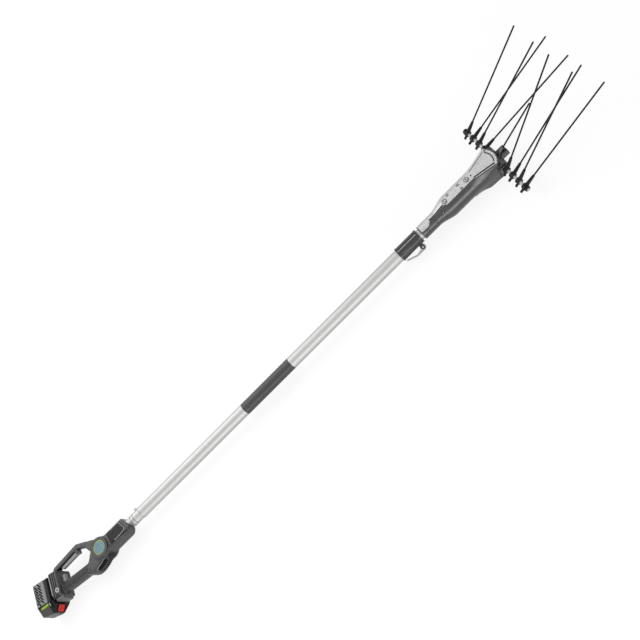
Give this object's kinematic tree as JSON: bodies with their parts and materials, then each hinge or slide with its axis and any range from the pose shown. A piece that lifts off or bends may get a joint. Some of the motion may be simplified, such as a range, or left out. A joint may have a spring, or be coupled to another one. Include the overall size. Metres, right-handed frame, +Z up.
{
  "type": "electric olive harvester",
  "caption": "Battery olive harvester with a loop handle, telescopic pole and rocking rake head with long thin tines.",
  "frame": {"origin": "middle of the part's box, on the floor that it lies on", "axes": "+X along the pole from the handle to the rake, +Z up, the side with the badge, +Y to the hand guard"},
  "size_m": [2.3894, 0.3024, 0.2468],
  "materials": {
    "tube_aluminium": "polished",
    "cover_aluminium": "sand-cast texture",
    "lever_aluminium": "satin",
    "steel": "machined",
    "grey_plastic": "fine moulded texture",
    "head_plastic": "fine moulded texture",
    "black_plastic": "moulded",
    "light_plastic": "moulded",
    "battery_plastic": "moulded",
    "red_plastic": "moulded",
    "black_rubber": "matt",
    "badge_film": "gloss",
    "carbon_rod": "satin",
    "circuit": "solder mask",
    "copper": "plated",
    "cell_wrap": "shrink wrap"
  },
  "bodies": {
    "handle": {"outer_tube": "tube_aluminium", "pole_ferrule": "tube_aluminium", "handle_shell_upper": "grey_plastic", "handle_shell_lower": "grey_plastic", "shell_screws": "steel", "grip_pad": "black_rubber", "badge_bezel": "black_plastic", "badge_disc": "badge_film", "sleeve_pad": "black_rubber", "sleeve_end_ring": "black_plastic", "hub_grille": "black_plastic", "strap_bush": "light_plastic", "control_board": "circuit", "lever_switch": "black_plastic", "squeeze_pin": "steel", "battery_dock": "black_plastic", "dock_terminals": "copper", "collar_body": "black_plastic", "collar_bush": "black_plastic", "cam_pin": "steel"},
    "head": {"inner_tube": "tube_aluminium", "tube_guide": "black_plastic", "head_body": "head_plastic", "head_cover": "cover_aluminium", "cover_screws": "steel", "motor_can": "steel", "gear_plate": "lever_aluminium", "shaft_bearings": "steel"},
    "rake": {"rocker_fork": "black_plastic", "rake_shaft": "tube_aluminium", "end_nuts": "steel", "centre_tine": "carbon_rod", "tine_holder_1": "black_plastic", "tine_holder_2": "black_plastic", "tine_holder_3": "black_plastic", "tine_holder_4": "black_plastic", "tine_holder_5": "black_plastic", "tine_holder_6": "black_plastic", "tine_holder_7": "black_plastic", "tine_holder_8": "black_plastic", "tine_1": "carbon_rod", "tine_2": "carbon_rod", "tine_3": "carbon_rod", "tine_4": "carbon_rod", "tine_5": "carbon_rod", "tine_6": "carbon_rod", "tine_7": "carbon_rod", "tine_8": "carbon_rod"},
    "crank": {"crank_gear": "steel", "crank_bearing": "steel"},
    "rotor": {"motor_rotor": "copper", "drive_pinion": "steel"},
    "battery": {"battery_case": "battery_plastic", "battery_lid": "black_plastic", "battery_cells": "cell_wrap"},
    "latch": {"battery_latch": "red_plastic"},
    "cam": {"cam_lever": "lever_aluminium"},
    "squeeze": {"squeeze_lever": "light_plastic"},
    "rear_press": {"rear_button": "light_plastic"},
    "snap": {"snap_button": "steel"}
  },
  "joints": [
    {"name": "pole_slide", "type": "slide", "parent": "handle", "child": "head", "axis": [1, 0, 0], "range_m": [0, 0.68]},
    {"name": "rake_swing", "type": "hinge", "parent": "head", "child": "rake", "pos_m": [0.85988, 0, 0.04], "axis": [0, 1, 0], "range_deg": [-11.36, 11.36]},
    {"name": "crank_turn", "type": "hinge", "parent": "head", "child": "crank", "pos_m": [0.81088, 0, 0.04], "axis": [1, 0, 0], "range_deg": [-91, 91]},
    {"name": "rotor_turn", "type": "hinge", "parent": "head", "child": "rotor", "pos_m": [0.75688, 0, 0.0232], "axis": [1, 0, 0], "range_deg": [-228, 228]},
    {"name": "cam_lever_open", "type": "hinge", "parent": "handle", "child": "cam", "pos_m": [0.53188, -0.02717, 0.02235], "axis": [0, -0.5446, 0.8387], "range_deg": [0, 100]},
    {"name": "squeeze_pull", "type": "hinge", "parent": "handle", "child": "squeeze", "pos_m": [-0.98386, 0.0642, 0.04], "axis": [0, 0, 1], "range_deg": [0, 8], "stiffness_Nm_per_rad": 2},
    {"name": "rear_button_press", "type": "slide", "parent": "handle", "child": "rear_press", "axis": [-0.9781, 0.2079, 0], "range_m": [0, 0.005], "stiffness_N_per_m": 400},
    {"name": "snap_press", "type": "slide", "parent": "handle", "child": "snap", "axis": [0, -0.8387, -0.5446], "range_m": [0, 0.004], "stiffness_N_per_m": 1500},
    {"name": "battery_slide", "type": "slide", "parent": "handle", "child": "battery", "axis": [-0.2079, -0.9781, 0], "range_m": [0, 0.096]},
    {"name": "latch_press", "type": "slide", "parent": "battery", "child": "latch", "axis": [-0.6985, 0.7156, 0], "range_m": [0, 0.004], "stiffness_N_per_m": 800}
  ],
  "couplings": [
    {"joint": "crank_turn", "follows": "rake_swing", "ratio": 7.9227},
    {"joint": "rotor_turn", "follows": "rake_swing", "ratio": -19.807}
  ]
}
